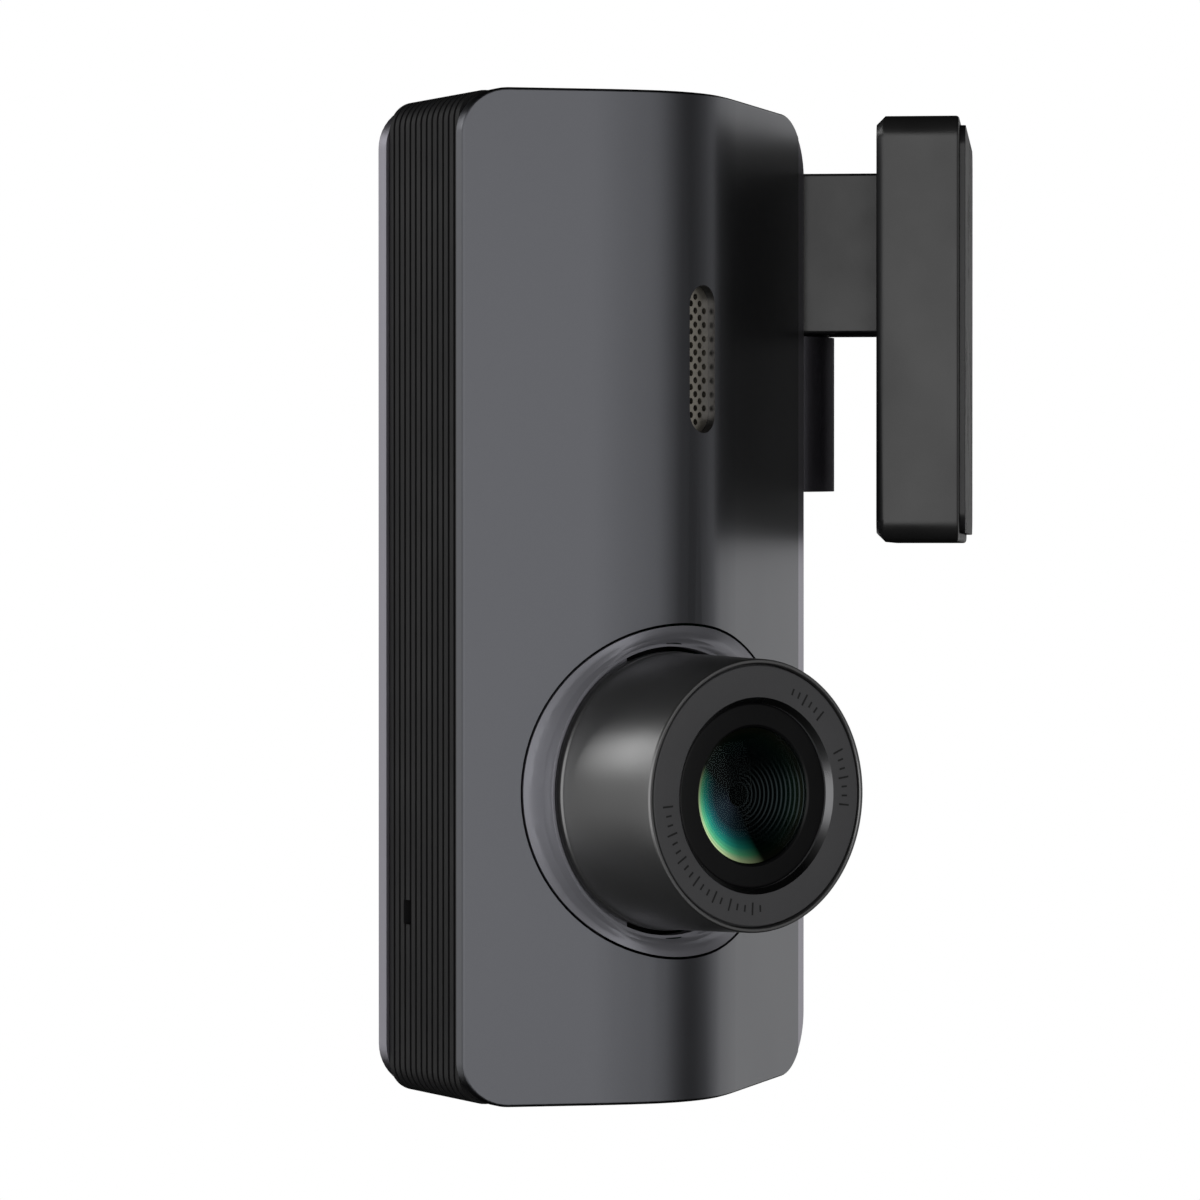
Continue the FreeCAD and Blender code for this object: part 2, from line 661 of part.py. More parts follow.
def usb_socket():
    front, back = 46.2, 38.8
    shell = end_slot(USB_X, USB_Y, USB_WIDTH, USB_HEIGHT, back, front)
    cavity = end_slot(USB_X, USB_Y, USB_WIDTH - 0.6, USB_HEIGHT - 0.6, back + 1, front + 1)
    tongue = box(USB_X - 3.35, USB_X + 3.35, USB_Y - 0.35, USB_Y + 0.35, back + 0.5, front - 0.7)
    return shell.cut(cavity).fuse(tongue).removeSplitter()


def card_socket():
    x0, x1 = CARD_X - 7.2, CARD_X + 7.2
    shell = box(x0, x1, 10.7, BOARD_FRONT, -43.4, -28.9)
    half = CARD_WIDTH / 2 + 0.2
    slot = box(CARD_X - half, CARD_X + half, CARD_Y - CARD_THICK / 2 - 0.2, CARD_Y + CARD_THICK / 2 + 0.2,
               -44, -30.2)
    return shell.cut(slot)


def memory_card():
    """A small card with one notched corner and a thicker thumb edge."""
    half = CARD_WIDTH / 2
    y0 = CARD_Y - CARD_THICK / 2
    inner = CARD_END + CARD_LENGTH
    points = [V(CARD_X - half, y0, CARD_END), V(CARD_X + half, y0, CARD_END),
              V(CARD_X + half, y0, inner - 6.5), V(CARD_X + half - 1.2, y0, inner - 5.3),
              V(CARD_X + half - 1.2, y0, inner), V(CARD_X - half, y0, inner)]
    card = Part.Face(Part.makePolygon(points + [points[0]])).extrude(V(0, CARD_THICK, 0))
    ridge = box(CARD_X - half, CARD_X + half, y0 - 0.15, y0, CARD_END, CARD_END + 0.9)
    return card.fuse(ridge).removeSplitter()


def head_electronics():
    back = BOARD_BACK
    pieces = {
        "main_board": main_board(),
        "processor": box(14, 26, back, back + 1.1, -9, 3),
        "thermal_pad": box(14, 26, back + 1.1, back + 1.9, -9, 3),
        "heat_spreader": box(9, 31, back + 1.9, back + 2.9, -17, 9),
        "wireless_module": box(25, 35, BOARD_FRONT - 1.6, BOARD_FRONT, 22, 35),
        "antenna": box(2.02, 2.32, 4, 10, 8, 38),
        "supercapacitors": supercapacitors(),
        "board_connector": box(15.4, 21.8, BOARD_FRONT - 1.1, BOARD_FRONT, -22, -18),
        "flex_cable": flex_cable(),
        "speaker": speaker(),
        "microphone": box(3.3, 6.3, back, back + 1.1, -31.6, -27.8),
        "usb_socket": usb_socket(),
        "card_socket": card_socket(),
        "tact_switch": fuse(box(19, 25, back, back + 1.0, 12, 18),
                            rod(1.3, V(BUTTON_AT[0], back + 1.0, BUTTON_AT[1]), Y_AXIS, 0.3)),
        "status_light": box(21, 23, back, back + 0.8, 24, 26),
    }
    return pieces


def function_button():
    x, z = BUTTON_AT
    cap = rod(BUTTON_R, V(x, REAR_SPLIT - 0.1, z), Y_AXIS, REAR_THICK + 0.35)
    cap = filleted(cap, 0.35, lambda e: e.BoundBox.YMin > HEAD_DEPTH)
    flange = tube(BUTTON_R + 1.0, BUTTON_R - 0.5, V(x, REAR_SPLIT - 0.7, z), Y_AXIS, 0.6)
    plunger = rod(1.2, V(x, BOARD_BACK + 1.75, z), Y_AXIS, REAR_SPLIT - BOARD_BACK - 1.75)
    disc = rod(BUTTON_R, V(x, REAR_SPLIT - 0.7, z), Y_AXIS, 0.7)
    return fuse(cap, disc, flange, plunger)


def light_pipe():
    x, z = LIGHT_AT
    stem = rod(LIGHT_R, V(x, BOARD_BACK + 1.0, z), Y_AXIS, HEAD_DEPTH - BOARD_BACK - 1.0)
    collar = rod(LIGHT_R + 0.6, V(x, REAR_SPLIT - 0.6, z), Y_AXIS, 1.3)
    return fuse(stem, collar)


def case_screws():
    towards = V(0, -1, 0)
    length = CASE_SCREW_SEAT - CASE_SCREW_TIP
    return Part.makeCompound([put(screw(1.9, 0.95, SCREW_R, length), V(x, CASE_SCREW_SEAT, z), towards)
                              for x, z in CASE_BOSSES])


def board_screws():
    return Part.makeCompound([put(screw(1.8, 0.9, SMALL_SCREW_R, 4.6), V(x, BOARD_BACK, z), V(0, -1, 0))
                              for x, z in BOARD_POSTS])


# Hinge hardware, drawn about the hinge axis in the global frame

def at_hinge(z):
    return V(HINGE_AT.x, HINGE_AT.y, z)


def hinge_screw():
    head = rod(2.6, at_hinge(14.0), Z_AXIS, 1.3)
    slot = box(HINGE_AT.x - 3, HINGE_AT.x + 3, -0.35, 0.35, 14.7, 16)
    shank = rod(HINGE_SCREW_R, at_hinge(-13.4), Z_AXIS, 27.4)
    return fuse(head, shank).cut(slot)


def place_head(shape):
    home = FreeCAD.Placement(V(0, 0, 0) - HINGE_IN_HEAD, FreeCAD.Rotation())
    turn = FreeCAD.Placement(HINGE_AT, FreeCAD.Rotation(Z_AXIS, REST_TURN))
    return moved(shape, turn.multiply(home))


def lug_plug():
    axis = HINGE_IN_HEAD
    return rod(3.25, V(axis.x, axis.y, axis.z + LUG_BOTTOM), Z_AXIS, 1.15)


def hinge_nut():
    start = HINGE_IN_HEAD.z + LUG_BOTTOM + 2.5
    bore = rod(HINGE_SCREW_R + 0.03, V(HINGE_IN_HEAD.x, HINGE_IN_HEAD.y, start - 1), Z_AXIS, 5)
    return nut_prism(5.0, start, 2.4).cut(bore)


# Bracket, in the global frame

def slab_prism(height, depth, x0, x1, corner):
    prism = rounded_prism(height, depth, [corner] * 4, x1 - x0)
    prism.translate(V(-height / 2, -depth / 2, x0))
    return moved(prism, FreeCAD.Placement(V(0, 0, 0), FreeCAD.Rotation(Z_AXIS, V(0, 1, 0), X_AXIS, "ZXY")))


def bracket_body():
    slab = slab_prism(SLAB_HEIGHT, SLAB_DEPTH, SLAB_LEFT, SLAB_RIGHT, SLAB_CORNER)
    rim = [e for e in slab.Edges if e.BoundBox.XMax < SLAB_LEFT + 0.01]
    slab = slab.makeChamfer(SLAB_CHAMFER, rim)
    slab = filleted(slab, 0.35, lambda e: e.BoundBox.XMin > SLAB_RIGHT - 0.01)
    knuckle = rod(KNUCKLE_R, at_hinge(KNUCKLE_GAP), Z_AXIS, KNUCKLE_TOP - KNUCKLE_GAP)
    arm = box(HINGE_AT.x, SLAB_LEFT + 0.5, -KNUCKLE_R, KNUCKLE_R, KNUCKLE_GAP, KNUCKLE_TOP)
    arm = filleted(fuse(knuckle, arm), 0.3, lambda e: e.BoundBox.ZMax - e.BoundBox.ZMin < 0.1
                   and e.BoundBox.XMin < SLAB_LEFT)
    body = slab.fuse(arm).removeSplitter()
    pocket = slab_prism(SLAB_HEIGHT - 2 * SLAB_WALL, SLAB_DEPTH - 2 * SLAB_WALL,
                        SLAB_LEFT + SLAB_WALL, SLAB_RIGHT + 1, POCKET_CORNER)
    for y in (-POST_Y, POST_Y):
        for z in (-POST_Z, POST_Z):
            length = SLAB_RIGHT - BRACKET_PLATE - SLAB_LEFT - SLAB_WALL + 0.5
            pocket = pocket.cut(rod(POST_R, V(SLAB_LEFT + SLAB_WALL - 0.5, y, z), X_AXIS, length))
    body = body.cut(pocket)
    for y in (-POST_Y, POST_Y):
        for z in (-POST_Z, POST_Z):
            body = body.cut(rod(SMALL_SCREW_R + THREAD_GAP, V(SLAB_LEFT + 1.2, y, z), X_AXIS, 8))
    body = body.cut(rod(HINGE_SCREW_R + RUNNING, at_hinge(-1), Z_AXIS, 20))
    return body.cut(rod(2.9, at_hinge(13.5), Z_AXIS, 5))


def bracket_plate():
    rim = 2 * (SLAB_WALL + FIT_GAP)
    plate = slab_prism(SLAB_HEIGHT - rim, SLAB_DEPTH - rim, SLAB_RIGHT - BRACKET_PLATE, SLAB_RIGHT,
                       POCKET_CORNER)
    for y in (-POST_Y, POST_Y):
        for z in (-POST_Z, POST_Z):
            plate = plate.cut(rod(CLEARANCE_R, V(-5, y, z), X_AXIS, 6))
            plate = plate.cut(rod(PLATE_SEAT_R, V(PLATE_SEAT_AT, y, z), X_AXIS, 2))
    return plate


def plate_screws():
    pins = []
    for y in (-POST_Y, POST_Y):
        for z in (-POST_Z, POST_Z):
            pins.append(put(screw(1.8, 0.8, SMALL_SCREW_R, 4.4), V(PLATE_SEAT_AT, y, z), V(-1, 0, 0)))
    return Part.makeCompound(pins)


def bracket_pieces():
    pad = slab_prism(PAD_HEIGHT, PAD_DEPTH, SLAB_RIGHT, 0, SLAB_CORNER)
    return {
        "bracket_body": bracket_body(),
        "bracket_plate": bracket_plate(),
        "plate_screws": plate_screws(),
        "adhesive_pad": pad,
        "friction_washer": tube(4.6, HINGE_SCREW_R + 0.1, at_hinge(-0.12), Z_AXIS, KNUCKLE_GAP + 0.12),
        "hinge_cap": rod(2.85, at_hinge(15.5), Z_AXIS, 0.5),
    }


def build():
    head = {
        "front_cover": front_cover(),
        "mid_frame": mid_frame(),
        "rear_cover": rear_cover(),
        "speaker_grille": speaker_grille(),
        "lens_skirt": lens_skirt(),
        "light_pipe": light_pipe(),
        "case_screws": case_screws(),
        "board_screws": board_screws(),
        "hinge_nut": hinge_nut(),
        "lug_plug": lug_plug(),
        "function_button": function_button(),
        "memory_card": memory_card(),
    }
    head.update(head_optics())
    head.update(head_electronics())
    for name, shape in head.items():
        parts[name] = place_head(shape)
    parts["hinge_screw"] = hinge_screw()
    parts["spring_washer"] = tube(2.6, HINGE_SCREW_R + 0.1, at_hinge(13.52), Z_AXIS, 0.46)
    parts.update(bracket_pieces())


build()
os.makedirs("parts", exist_ok=True)
for name, shape in parts.items():
    shape.exportStep("parts/" + name + ".step")
    print(name, len(shape.Solids), round(shape.Volume, 1), shape.isValid())
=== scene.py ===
import json
import math

import bmesh
import bpy
from mathutils import Matrix, Vector

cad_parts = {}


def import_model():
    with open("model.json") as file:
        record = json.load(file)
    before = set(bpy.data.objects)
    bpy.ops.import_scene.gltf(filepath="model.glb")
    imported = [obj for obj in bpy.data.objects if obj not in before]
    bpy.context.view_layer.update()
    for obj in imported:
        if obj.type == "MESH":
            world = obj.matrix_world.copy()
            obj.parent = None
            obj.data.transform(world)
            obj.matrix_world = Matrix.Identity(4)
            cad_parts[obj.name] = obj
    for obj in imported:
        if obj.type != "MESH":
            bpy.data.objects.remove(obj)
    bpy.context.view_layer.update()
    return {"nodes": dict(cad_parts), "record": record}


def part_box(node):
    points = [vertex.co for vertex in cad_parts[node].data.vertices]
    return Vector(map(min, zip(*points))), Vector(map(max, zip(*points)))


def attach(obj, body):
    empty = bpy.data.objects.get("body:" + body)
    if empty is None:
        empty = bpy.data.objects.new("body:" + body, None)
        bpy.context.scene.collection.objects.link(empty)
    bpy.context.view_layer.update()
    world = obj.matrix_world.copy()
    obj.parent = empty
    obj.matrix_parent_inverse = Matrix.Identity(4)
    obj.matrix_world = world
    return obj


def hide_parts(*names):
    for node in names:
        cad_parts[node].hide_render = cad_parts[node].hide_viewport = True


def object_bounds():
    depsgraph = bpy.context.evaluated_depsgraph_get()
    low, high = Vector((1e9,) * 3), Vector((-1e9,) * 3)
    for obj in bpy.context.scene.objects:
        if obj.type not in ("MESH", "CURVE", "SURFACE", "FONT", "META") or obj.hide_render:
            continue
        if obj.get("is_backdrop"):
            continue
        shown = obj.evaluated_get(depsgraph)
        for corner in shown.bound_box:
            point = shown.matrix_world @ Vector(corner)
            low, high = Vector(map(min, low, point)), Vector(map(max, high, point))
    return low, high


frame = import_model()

# A dash camera on its windscreen bracket. Everything is in metres in the CAD frame: +X into the
# windscreen, +Z along the camera's long side. MM turns millimetres into metres.
MM = 0.001
UP = Vector((0, 0, 1))
BODY_OF = {node: body for body, nodes in frame["record"]["behaviour"]["bodies"].items() for node in nodes}


def middle(node):
    low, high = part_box(node)
    return (low + high) / 2


# The lens axis, taken from the sensor and the ring

def lens_matrix():
    """Origin at the front of the ring: x to the viewer's right, y up, z out of the lens."""
    ring = middle("lens_ring")
    forward = (ring - middle("sensor_board")).normalized()
    right = UP.cross(forward)
    half_ring = 0.92 * MM
    origin = ring + forward * half_ring
    turn = Matrix((right, UP, forward)).transposed().to_4x4()
    return Matrix.Translation(origin) @ turn


LENS = lens_matrix()

# The coated bowl, in mm: how far its painted reflection runs along it, and its fine rings
PAINTED_REFLECTION_REACH = 5.5
COATING_RING_PITCH = 0.42
COATING_RING_DEPTH = 0.010


# Node helpers

def node_tree(name):
    material = bpy.data.materials.new(name)
    material.use_nodes = True
    tree = material.node_tree
    tree.nodes.clear()
    output = tree.nodes.new("ShaderNodeOutputMaterial")
    return material, tree, output


def add(tree, kind, **values):
    node = tree.nodes.new(kind)
    for key, value in values.items():
        setattr(node, key, value)
    return node


def link(tree, source, target):
    tree.links.new(source, target)


def stretched(tree, source, size):
    """Texture coordinates where one unit is size metres along each axis."""
    mapping = add(tree, "ShaderNodeMapping")
    mapping.inputs["Scale"].default_value = [1 / s for s in size]
    link(tree, source, mapping.inputs["Vector"])
    return mapping.outputs["Vector"]


def noise(tree, vector, detail, roughness):
    node = add(tree, "ShaderNodeTexNoise")
    node.inputs["Scale"].default_value = 1.0
    node.inputs["Detail"].default_value = detail
    node.inputs["Roughness"].default_value = roughness
    link(tree, vector, node.inputs["Vector"])
    return node.outputs["Fac"]


def spread(tree, factor, low, high, from_low=0.3, from_high=0.7):
    node = add(tree, "ShaderNodeMapRange")
    node.inputs["From Min"].default_value = from_low
    node.inputs["From Max"].default_value = from_high
    node.inputs["To Min"].default_value = low
    node.inputs["To Max"].default_value = high
    link(tree, factor, node.inputs["Value"])
    return node.outputs["Result"]


def blend_colour(tree, factor, low, high):
    node = add(tree, "ShaderNodeMix", data_type="RGBA")
    link(tree, factor, node.inputs["Factor"])
    node.inputs[6].default_value = (*low, 1)
    node.inputs[7].default_value = (*high, 1)
    return node.outputs[2]


def bump(tree, height, distance):
    node = add(tree, "ShaderNodeBump")
    node.inputs["Strength"].default_value = 1.0
    node.inputs["Distance"].default_value = distance
    link(tree, height, node.inputs["Height"])
    return node.outputs["Normal"]


def colour_ramp(tree, stops, factor):
    """A ramp through (place, colour) stops, driven by factor."""
    ramp = add(tree, "ShaderNodeValToRGB")
    elements = ramp.color_ramp.elements
    for index, (place, colour) in enumerate(stops):
        element = elements[index] if index < 2 else elements.new(place)
        element.position = place
        element.color = (*colour, 1)
    link(tree, factor, ramp.inputs[0])
    return ramp.outputs[0]


def finish_material(name, colour, rough, metallic=0.0, grain=0.12, grain_depth=0.004, wander=0.12,
                    patch=9.0, rough_spread=0.06, coat=0.0, specular=0.5, stretch=(1, 1, 1)):
    """A moulded, painted or machined surface: fine grain, slow colour drift and uneven gloss. Sizes in mm."""
    material, tree, output = node_tree(name)
    coords = add(tree, "ShaderNodeTexCoord").outputs["Object"]
    fine = noise(tree, stretched(tree, coords, [grain * s * MM for s in stretch]), 3.0, 0.6)
    slow = noise(tree, stretched(tree, coords, [patch * MM] * 3), 4.0, 0.55)
    shader = add(tree, "ShaderNodeBsdfPrincipled")
    shader.inputs["Metallic"].default_value = metallic
    shader.inputs["Coat Weight"].default_value = coat
    shader.inputs["Coat Roughness"].default_value = 0.2
    shader.inputs["Specular IOR Level"].default_value = specular
    dark = [c * (1 - wander) for c in colour]
    light = [min(1.0, c * (1 + wander)) for c in colour]
    both = add(tree, "ShaderNodeMath", operation="ADD")
    link(tree, spread(tree, fine, 0.0, 0.55), both.inputs[0])
    link(tree, spread(tree, slow, 0.0, 0.45), both.inputs[1])
    link(tree, blend_colour(tree, both.outputs[0], dark, light), shader.inputs["Base Color"])
    link(tree, spread(tree, slow, rough - rough_spread, rough + rough_spread), shader.inputs["Roughness"])
    link(tree, bump(tree, fine, grain_depth * MM), shader.inputs["Normal"])
    link(tree, shader.outputs[0], output.inputs["Surface"])
    return material


def coated_glass(name, tint, reflect, strength):
    """Clear thin glass with a faint coloured mirror: strength seen square on, more at a slant."""
    material, tree, output = node_tree(name)
    clear = add(tree, "ShaderNodeBsdfTransparent")
    clear.inputs["Color"].default_value = (*tint, 1)
    gloss = add(tree, "ShaderNodeBsdfPrincipled")
    gloss.inputs["Base Color"].default_value = (*reflect, 1)
    gloss.inputs["Metallic"].default_value = 1.0
    gloss.inputs["Roughness"].default_value = 0.06
    edge = add(tree, "ShaderNodeLayerWeight")
    edge.inputs["Blend"].default_value = 0.35
    share = spread(tree, edge.outputs["Facing"], strength, 0.3, 0.45, 1.0)
    mix = add(tree, "ShaderNodeMixShader")
    link(tree, share, mix.inputs[0])
    link(tree, clear.outputs[0], mix.inputs[1])
    link(tree, gloss.outputs[0], mix.inputs[2])
    link(tree, mix.outputs[0], output.inputs["Surface"])
    return material


def painted_coating_reflection():
    """Painted reflection on the bowl behind the front glass: turned rings and a glowing green crescent at
    lower left.
    """
    material, tree, output = node_tree("painted_coating_reflection")
    split = add(tree, "ShaderNodeSeparateXYZ")
    link(tree, add(tree, "ShaderNodeTexCoord").outputs["UV"], split.inputs[0])
    around, across = split.outputs[0], split.outputs[1]
    # Painted reflection: the crescent's colour, from the dark middle out to a bright green rim
    reflection_tints = [(0.0, (0.010, 0.012, 0.020)), (0.38, (0.012, 0.030, 0.045)), (0.54, (0.015, 0.13, 0.15)),
             (0.72, (0.03, 0.42, 0.32)), (0.86, (0.20, 0.80, 0.40)), (0.97, (0.85, 1.0, 0.55))]
    # Painted reflection: how bright the crescent is around the axis, brightest at lower left
    crescent_levels = [(0.0, 0.003), (0.42, 0.003), (0.49, 0.35), (0.57, 1.0), (0.66, 0.8), (0.72, 0.3),
              (0.79, 0.003)]
    outward = spread(tree, across, 0.0, 1.0, 0.0, PAINTED_REFLECTION_REACH)
    tint = add(tree, "ShaderNodeMix", data_type="RGBA", blend_type="MULTIPLY")
    tint.inputs["Factor"].default_value = 1.0
    link(tree, colour_ramp(tree, reflection_tints, outward), tint.inputs[6])
    link(tree, colour_ramp(tree, [(place, [level] * 3) for place, level in crescent_levels], around), tint.inputs[7])
    wave = add(tree, "ShaderNodeMath", operation="SINE")
    turns = add(tree, "ShaderNodeMath", operation="MULTIPLY")
    turns.inputs[1].default_value = 2 * math.pi / COATING_RING_PITCH
    link(tree, across, turns.inputs[0])
    link(tree, turns.outputs[0], wave.inputs[0])
    ringed = add(tree, "ShaderNodeMix", data_type="RGBA", blend_type="ADD")
    link(tree, spread(tree, wave.outputs[0], 0.0, 1.0, 0.2, 1.0), ringed.inputs["Factor"])
    link(tree, tint.outputs[2], ringed.inputs[6])
    ringed.inputs[7].default_value = (0.030, 0.034, 0.038, 1)
    shader = add(tree, "ShaderNodeBsdfPrincipled")
    shader.inputs["Metallic"].default_value = 1.0
    shader.inputs["Roughness"].default_value = 0.24
    link(tree, ringed.outputs[2], shader.inputs["Base Color"])
    # The painted reflection also glows faintly as emission, though the bowl is no lamp
    link(tree, tint.outputs[2], shader.inputs["Emission Color"])
    shader.inputs["Emission Strength"].default_value = 0.55
    link(tree, bump(tree, wave.outputs[0], COATING_RING_DEPTH * MM), shader.inputs["Normal"])
    link(tree, shader.outputs[0], output.inputs["Surface"])
    return material


# Mesh helpers

def new_object(name, mesh, material, body, slot, *nodes):
    mesh.materials.clear()
    mesh.materials.append(material)
    piece = bpy.data.objects.new(name, mesh)
    bpy.context.scene.collection.objects.link(piece)
    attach(piece, body)
    if nodes:
        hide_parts(*nodes)
    return piece


def smooth(mesh, angle):
    for polygon in mesh.polygons:
        polygon.use_smooth = True
    mesh.set_sharp_from_angle(angle=math.radians(angle))


def slot_of(node):
    return next(s["material_slot"] for s in frame["record"]["subparts"] if s["node"] == node)


def dress(node, material, bevel):
    """A finished copy of a CAD node: joined faces, softened edges and even shading."""
    mesh = frame["nodes"][node].data.copy()
    mesh.name = node + "_mesh"
    work = bmesh.new()
    work.from_mesh(mesh)
    bmesh.ops.remove_doubles(work, verts=work.verts, dist=0.002 * MM)
    bmesh.ops.dissolve_limit(work, angle_limit=math.radians(0.4), verts=work.verts, edges=work.edges)
    work.to_mesh(mesh)
    work.free()
    smooth(mesh, 28.0)
    piece = new_object(node + "_finished", mesh, material, BODY_OF[node], slot_of(node), node)
    if bevel:
        edges = piece.modifiers.new("edges", "BEVEL")
        edges.width = bevel * MM
        edges.segments = 2
        edges.limit_method = "ANGLE"
        edges.angle_limit = math.radians(40)
        edges.harden_normals = False
    weights = piece.modifiers.new("weights", "WEIGHTED_NORMAL")
    weights.keep_sharp = True


def rounded(points, radius):
    """The same profile with its corners rounded to a radius, no larger than its sides allow."""
    steps = 4
    result = [points[0]]
    for before, corner, after in zip(points, points[1:], points[2:]):
        here = Vector(corner)
        back = Vector(before) - here
        ahead = Vector(after) - here
        reach = min(radius, back.length * 0.45, ahead.length * 0.45)
        start = here + back.normalized() * reach
        end = here + ahead.normalized() * reach
        for i in range(steps + 1):
            t = i / steps
            point = start * (1 - t) ** 2 + here * 2 * t * (1 - t) + end * t ** 2
            result.append(tuple(point))
    result.append(points[-1])
    return result


def lens_point(radius, turn, depth):
    """A place by its radius and depth in mm and its turn about the lens axis."""
    return LENS @ (Vector((radius * math.cos(turn), radius * math.sin(turn), -depth)) * MM)


def revolve(name, profile, material, slot, *nodes, closed=True):
    """Turns (radius, depth) points in mm about the lens axis. Depth runs into the lens."""
    segments = 192
    work = bmesh.new()
    uv = work.loops.layers.uv.new("UVMap")
    rings = []
    for radius, depth in profile:
        count = segments if radius else 1
        rings.append([work.verts.new(lens_point(radius, 2 * math.pi * i / segments, depth))
                      for i in range(count)])
    lengths = [0.0]
    for (r0, d0), (r1, d1) in zip(profile, profile[1:]):
        lengths.append(lengths[-1] + math.hypot(r1 - r0, d1 - d0))
    pairs = list(zip(range(len(rings)), range(1, len(rings))))
    if closed:
        pairs.append((len(rings) - 1, 0))
        lengths.append(lengths[-1] + 1.0)
    for first, second in pairs:
        low, high = rings[first], rings[second]
        for i in range(segments):
            j = (i + 1) % segments
            verts = [low[0], high[i], high[j]] if len(low) == 1 else [low[i], high[i], high[j], low[j]]
            face = work.faces.new(verts)
            for loop in face.loops:
                turn = i if loop.vert in (low[i % len(low)], high[i]) else i + 1
                along = lengths[first] if loop.vert in low else lengths[first + 1]
                loop[uv].uv = (turn / segments, along)
    bmesh.ops.recalc_face_normals(work, faces=work.faces)
    mesh = bpy.data.meshes.new(name)
    work.to_mesh(mesh)
    work.free()
    smooth(mesh, 30.0)
    new_object(name, mesh, material, "head", slot, *nodes)


# Materials

cover_paint = finish_material("gunmetal_lacquer", (0.142, 0.145, 0.158), 0.33, metallic=1.0, grain=0.07,
                              grain_depth=0.0006, wander=0.07, patch=14.0, rough_spread=0.015)
band_plastic = finish_material("ribbed_black", (0.018, 0.018, 0.0185), 0.5, grain=0.14, grain_depth=0.006,
                               wander=0.25, specular=0.15)
rear_paint = finish_material("rear_lacquer", (0.40, 0.385, 0.435), 0.36, metallic=1.0, grain=0.08,
                             grain_depth=0.001, wander=0.07, patch=14.0, rough_spread=0.02)
bracket_plastic = finish_material("sparked_plastic", (0.022, 0.022, 0.022), 0.37, grain=0.16,
                                  grain_depth=0.005, wander=0.12, specular=0.95)
# Painted shade: the hinge lug's plug is black plastic made near-black so it also reads as the shade under the
# arm
lug_shade_black = finish_material("lug_black", (0.006, 0.006, 0.006), 0.55, grain=0.14, grain_depth=0.006,
                              wander=0.3, specular=0.12)
# Painted light: a lighter copy of the cover lacquer for the skirt and its rim, standing in for the light it
# catches
skirt_lit_lacquer = finish_material("skirt_painted_light_lacquer", (0.40, 0.40, 0.44), 0.52, metallic=0.6, grain=0.07,
                              grain_depth=0.0006, wander=0.07, patch=14.0, rough_spread=0.015)
barrel_metal = finish_material("spun_metal", (0.30, 0.30, 0.30), 0.36, metallic=0.9, grain=0.05,
                               grain_depth=0.0008, wander=0.06, patch=20.0, rough_spread=0.02)
ring_plastic = finish_material("ring_satin", (0.115, 0.115, 0.119), 0.42, grain=0.09, grain_depth=0.003,
                               wander=0.08, specular=0.4)
lens_black = finish_material("optical_black", (0.006, 0.006, 0.0065), 0.35, grain=0.09, grain_depth=0.002,
                             wander=0.3, specular=0.3)
tunnel_black = finish_material("tunnel_black", (0.010, 0.011, 0.012), 0.22, grain=0.2, grain_depth=0.001,
                               wander=0.2, specular=0.5)
mark_ink = finish_material("mark_ink", (0.012, 0.012, 0.012), 0.5, grain=0.05, grain_depth=0.002, wander=0.2)
grille_metal = finish_material("grille_steel", (0.62, 0.58, 0.50), 0.42, metallic=1.0, grain=0.06,
                               grain_depth=0.001, wander=0.15)
steel = finish_material("machined_steel", (0.42, 0.42, 0.43), 0.28, metallic=1.0, grain=0.05,
                        grain_depth=0.001, wander=0.12)
brass = finish_material("machined_brass", (0.58, 0.42, 0.18), 0.3, metallic=1.0, grain=0.05,
                        grain_depth=0.001, wander=0.12)
sheet_metal = finish_material("stamped_sheet", (0.6, 0.6, 0.61), 0.35, metallic=1.0, grain=0.05,
                              grain_depth=0.001, wander=0.08, stretch=(1, 1, 30))
board_mask = finish_material("solder_mask", (0.015, 0.11, 0.05), 0.3, grain=0.5, grain_depth=0.01, wander=0.3,
                             coat=0.4)
chip_resin = finish_material("moulded_epoxy", (0.02, 0.02, 0.021), 0.55, grain=0.06, grain_depth=0.003)
soft_silicone = finish_material("silicone", (0.24, 0.26, 0.32), 0.7, grain=0.1, grain_depth=0.006)
amber_film = finish_material("amber_film", (0.35, 0.16, 0.03), 0.25, grain=0.4, grain_depth=0.003, coat=0.5)
sleeve = finish_material("shrink_sleeve", (0.01, 0.03, 0.11), 0.25, grain=0.6, grain_depth=0.006, coat=0.4)
pad_film = finish_material("pad_liner", (0.03, 0.03, 0.031), 0.3, grain=0.9, grain_depth=0.02, wander=0.2)
clear_acrylic = finish_material("light_acrylic", (0.75, 0.78, 0.8), 0.12, grain=0.3, grain_depth=0.001,
                                coat=0.6)
card_plastic = finish_material("card_plastic", (0.018, 0.018, 0.02), 0.4, grain=0.07, grain_depth=0.003)
button_plastic = finish_material("button_satin", (0.03, 0.03, 0.032), 0.36, grain=0.1, grain_depth=0.003)
front_glass = coated_glass("front_glass", (0.93, 1.0, 0.97), (0.5, 0.6, 0.6), 0.012)
inner_glass = coated_glass("inner_glass", (0.9, 1.0, 0.97), (0.4, 0.45, 0.5), 0.02)
polished_edge = finish_material("polished_edge", (0.20, 0.20, 0.205), 0.3, metallic=1.0, grain=0.05,
                                grain_depth=0.0008, wander=0.06)

BY_SLOT = {
    "cover_metallic": cover_paint, "band_black": band_plastic, "rear_metallic": rear_paint,
    "bracket_plastic": bracket_plastic, "barrel_metal": barrel_metal, "ring_black": ring_plastic,
    "lens_black": lens_black, "lens_glass": inner_glass, "grille_metal": grille_metal, "steel": steel,
    "brass": brass, "board_green": board_mask, "chip_black": chip_resin, "spreader": sheet_metal,
    "silicone": soft_silicone, "foil": amber_film, "capacitor": sleeve, "adhesive": pad_film,
    "light_clear": clear_acrylic, "card_black": card_plastic, "button_black": button_plastic,
    "lug_black": lug_shade_black,
}


# Lens

